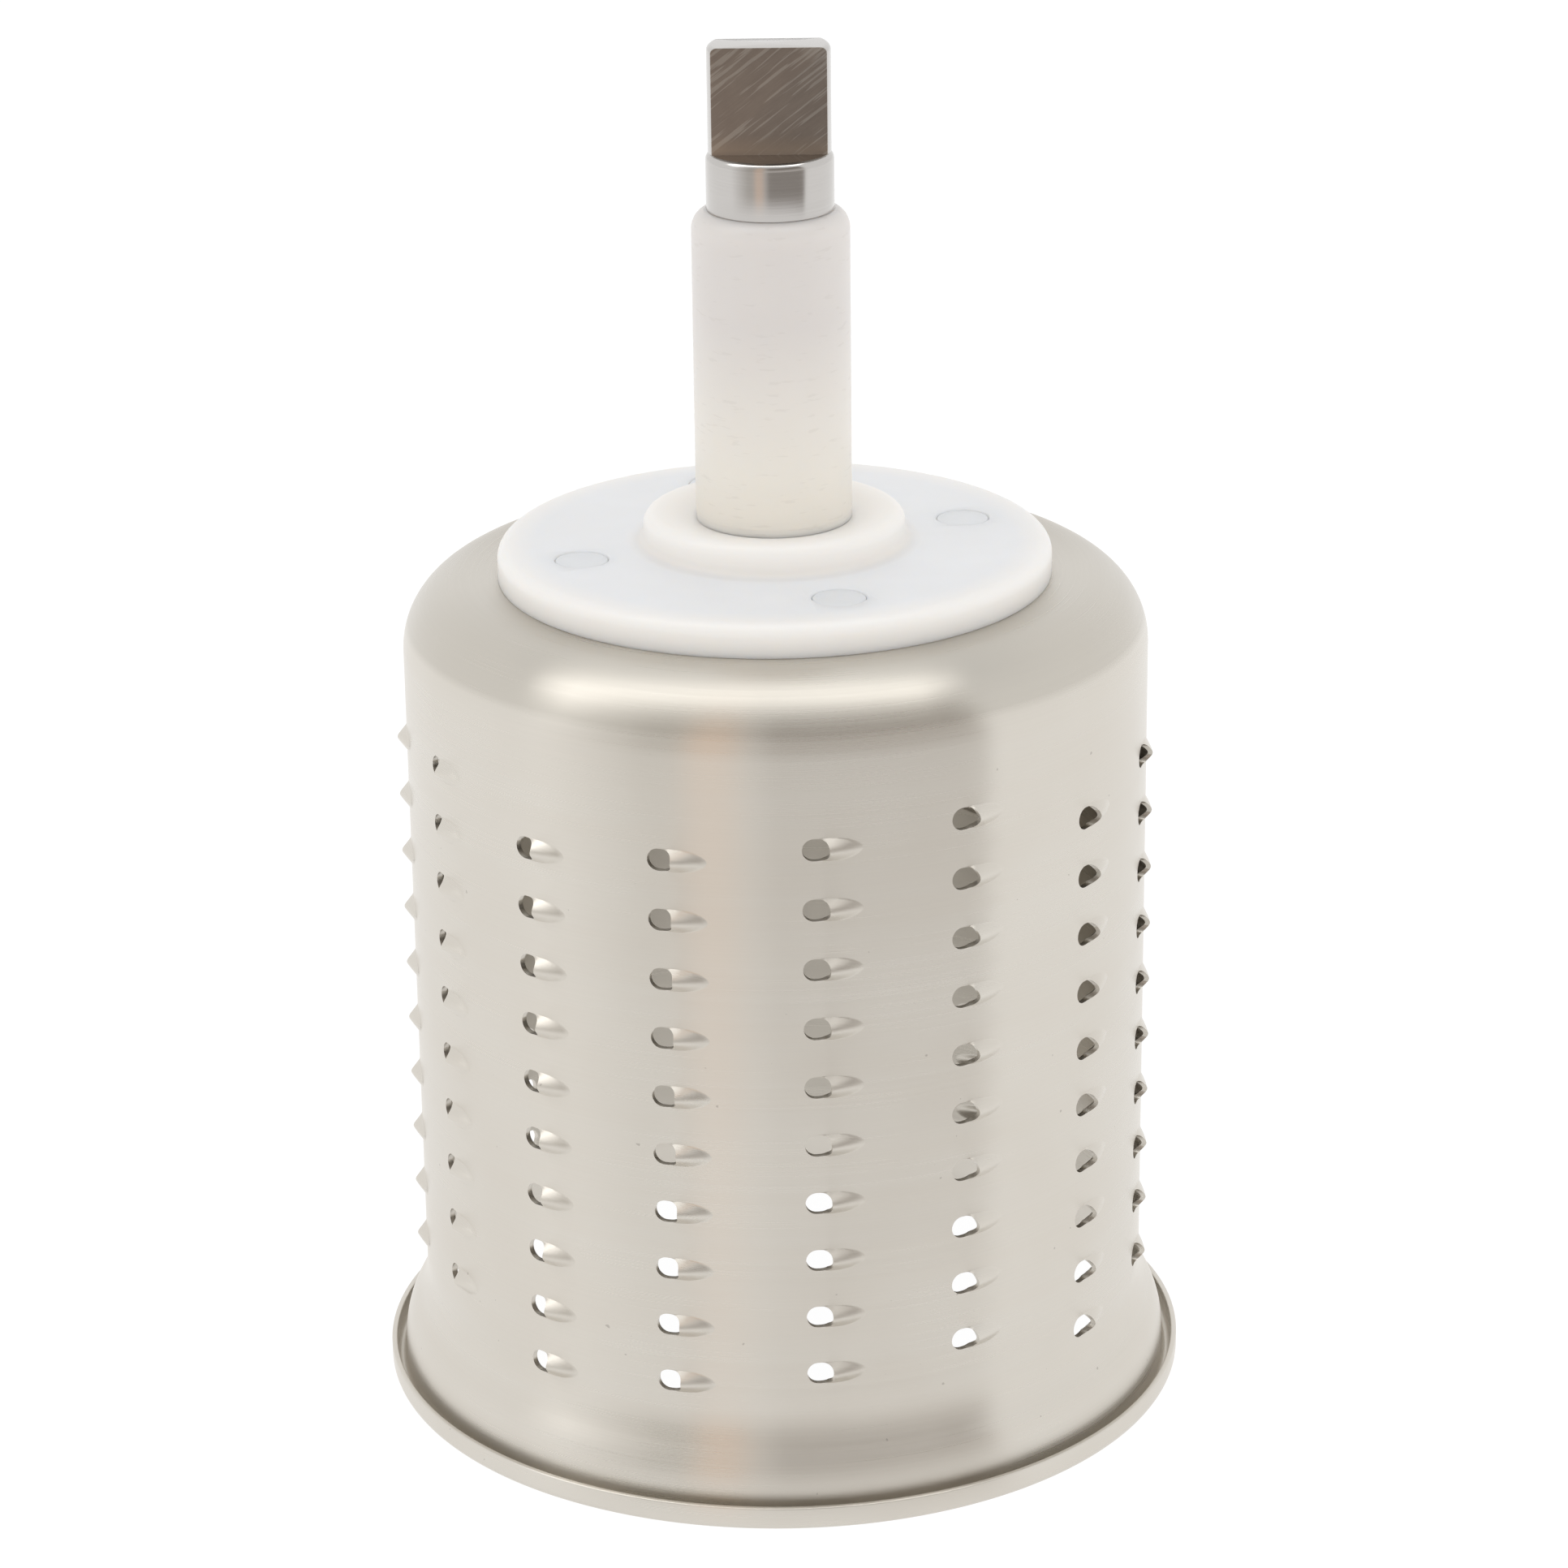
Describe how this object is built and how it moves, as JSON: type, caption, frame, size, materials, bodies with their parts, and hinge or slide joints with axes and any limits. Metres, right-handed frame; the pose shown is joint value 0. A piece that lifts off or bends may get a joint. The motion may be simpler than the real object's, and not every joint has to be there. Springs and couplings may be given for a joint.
{
  "type": "rotary cheese grater drum",
  "caption": "Open-rimmed steel grating drum with raised teeth, a white plastic hub and running sleeve, and a flat-sided driving tang.",
  "frame": {"origin": "on the drum's axis at the bottom of the open rim, on which the drum stands", "axes": "+Z along the drum's axis towards the driving tang, +Y square to the tang's flats, +X across the tang"},
  "size_m": [0.0874, 0.0874, 0.1468],
  "materials": {
    "brushed_stainless": "fine hairlines around the axis",
    "white_plastic": "satin, slightly translucent",
    "sleeve_plastic": "satin, slightly translucent",
    "plug_plastic": "satin",
    "ground_steel": "turned round parts, ground flats",
    "plate_steel": "rolled sheet",
    "fastener_steel": "plain machined",
    "rivet_steel": "upset heads"
  },
  "bodies": {
    "root": {"drum_shell": "brushed_stainless", "hub_flange": "white_plastic", "journal_sleeve": "sleeve_plastic", "drive_spindle": "ground_steel", "backing_plate": "plate_steel", "spindle_washer": "fastener_steel", "spindle_nut": "fastener_steel", "rivet_1": "rivet_steel", "rivet_2": "rivet_steel", "rivet_3": "rivet_steel", "rivet_4": "rivet_steel", "hub_plug_1": "plug_plastic", "hub_plug_2": "plug_plastic", "hub_plug_3": "plug_plastic", "hub_plug_4": "plug_plastic"}
  },
  "joints": []
}
